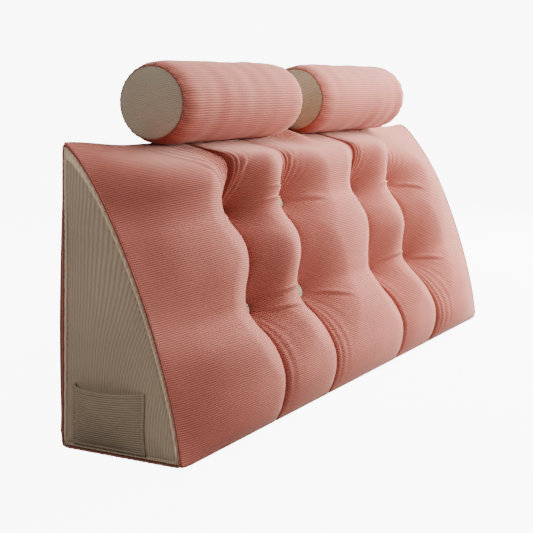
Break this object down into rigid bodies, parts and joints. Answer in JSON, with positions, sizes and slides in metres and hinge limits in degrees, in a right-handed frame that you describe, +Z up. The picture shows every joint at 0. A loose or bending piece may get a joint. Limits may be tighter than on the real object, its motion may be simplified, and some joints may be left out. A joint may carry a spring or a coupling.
{
  "type": "wedge headboard cushion with bolsters",
  "caption": "Long tufted wedge cushion in ribbed corduroy, standing on its flat base, with beige end panels, a patch pocket and round bolster headrests on its top edge.",
  "frame": {"origin": "middle of the footprint of the whole part, at floor level", "axes": "+X along the cushion towards the end without a pocket, the tufted front faces -Y, the flat back faces +Y, +Z up"},
  "size_m": [1.5388, 0.3042, 0.633],
  "materials": {
    "rose_corduroy": "matt ribbed pile",
    "beige_corduroy": "matt ribbed pile",
    "button_cloth": "matt cloth"
  },
  "bodies": {
    "root": {"cushion": "rose_corduroy", "end_panel_left": "beige_corduroy", "welt_left": "rose_corduroy", "end_panel_right": "beige_corduroy", "welt_right": "rose_corduroy", "pocket": "beige_corduroy", "button_lower_1": "button_cloth", "button_upper_1": "button_cloth", "button_lower_2": "button_cloth", "button_upper_2": "button_cloth", "button_lower_3": "button_cloth", "button_upper_3": "button_cloth", "button_lower_4": "button_cloth", "button_upper_4": "button_cloth", "bolster_left": "rose_corduroy", "bolster_left_cap_left": "beige_corduroy", "bolster_left_cap_right": "beige_corduroy", "bolster_right": "rose_corduroy", "bolster_right_cap_left": "beige_corduroy", "bolster_right_cap_right": "beige_corduroy"}
  },
  "joints": []
}
